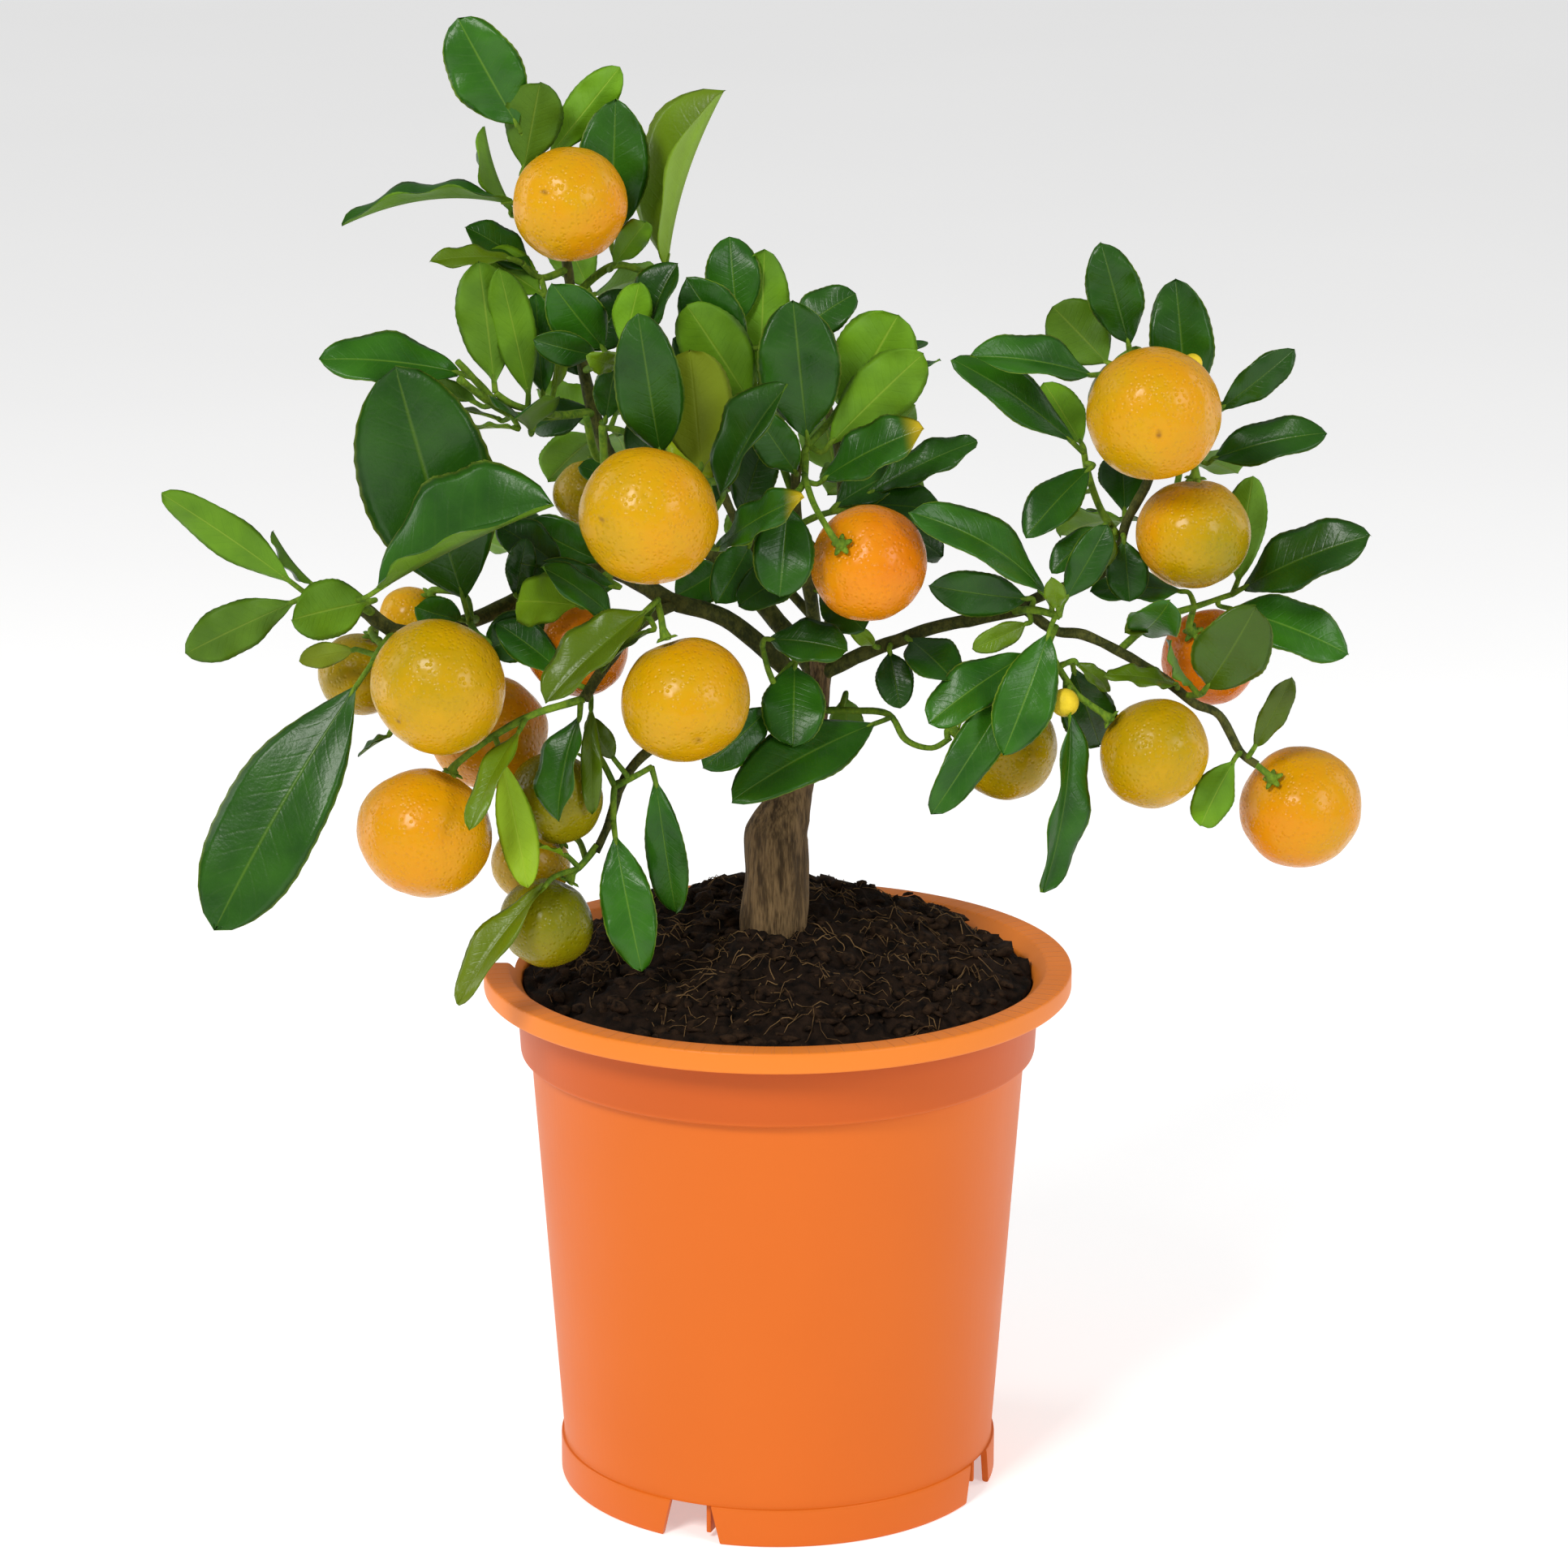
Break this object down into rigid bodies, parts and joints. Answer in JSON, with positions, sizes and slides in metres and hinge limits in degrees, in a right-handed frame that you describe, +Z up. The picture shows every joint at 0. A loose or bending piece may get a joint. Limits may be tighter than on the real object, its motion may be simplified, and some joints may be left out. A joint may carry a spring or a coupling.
{
  "type": "potted calamondin",
  "caption": "Small calamondin citrus tree with glossy leaves and ripening fruits, rooted in a round nursery pot with a notched foot ring.",
  "frame": {"origin": "on the pot's axis, at the underside of its foot ring", "axes": "+Z up along the pot's axis, +X to the plant's right as seen from its front, +Y to its back"},
  "size_m": [0.2751, 0.14, 0.3525],
  "materials": {
    "pot_plastic": "moulded polypropylene, satin, with a faint vertical grain",
    "potting_mix": "loose dark peat and bark mix with fine roots",
    "trunk_bark": "grey-brown bark with fine upright fissures",
    "limb_bark": "greenish young bark",
    "foliage": "glossy dark green upper faces, matt yellow-green undersides",
    "peel_ripe": "pored citrus peel, soft gloss, orange",
    "peel_deep": "pored citrus peel, soft gloss, red-orange",
    "peel_amber": "pored citrus peel, soft gloss, yellow-orange",
    "peel_turning": "pored citrus peel, soft gloss, yellow-green",
    "peel_olive": "pored citrus peel, soft gloss, olive",
    "peel_green": "pored citrus peel, soft gloss, green"
  },
  "bodies": {
    "root": {"back_left_shoot": "foliage", "back_middle_shoot": "foliage", "back_right_shoot": "foliage", "crown_left_shoot": "foliage", "crown_right_shoot": "foliage", "crown_tip_shoot": "foliage", "far_left_lower_shoot": "foliage", "far_left_upper_shoot": "foliage", "front_left_spray": "foliage", "fruit_back_left": "peel_olive", "fruit_back_right": "peel_amber", "fruit_centre": "peel_deep", "fruit_centre_left": "peel_amber", "fruit_crown": "peel_ripe", "fruit_far_left": "peel_turning", "fruit_front": "peel_amber", "fruit_hanging_back": "peel_olive", "fruit_hanging_olive": "peel_green", "fruit_hanging_tip": "peel_green", "fruit_inner_left": "peel_deep", "fruit_left_behind": "peel_ripe", "fruit_left_hidden": "peel_amber", "fruit_left_lower": "peel_ripe", "fruit_left_upper": "peel_olive", "fruit_right_behind": "peel_deep", "fruit_right_green": "peel_green", "fruit_right_inner": "peel_olive", "fruit_right_lower": "peel_amber", "fruit_right_middle": "peel_turning", "fruit_right_top": "peel_amber", "fruit_right_upper": "peel_ripe", "hanging_middle_shoot": "foliage", "hanging_tip_shoot": "foliage", "left_big_leaf_shoot": "foliage", "left_middle_shoot": "foliage", "limb_back": "limb_bark", "limb_crown": "limb_bark", "limb_hanging": "limb_bark", "limb_left": "limb_bark", "limb_middle": "limb_bark", "limb_right": "limb_bark", "limb_right_up": "limb_bark", "middle_left_shoot": "foliage", "middle_low_shoot": "foliage", "middle_right_shoot": "foliage", "middle_top_shoot": "foliage", "pot": "pot_plastic", "potting_mix": "potting_mix", "right_crown_shoot": "foliage", "right_down_spray": "foliage", "right_hanging_shoot": "foliage", "right_inner_shoot": "foliage", "right_low_shoot": "foliage", "right_middle_shoot": "foliage", "right_node_shoot": "foliage", "right_top_shoot": "foliage", "trunk": "trunk_bark", "trunk_shoot": "foliage", "upper_left_shoot": "foliage", "upper_middle_shoot": "foliage"}
  },
  "joints": []
}
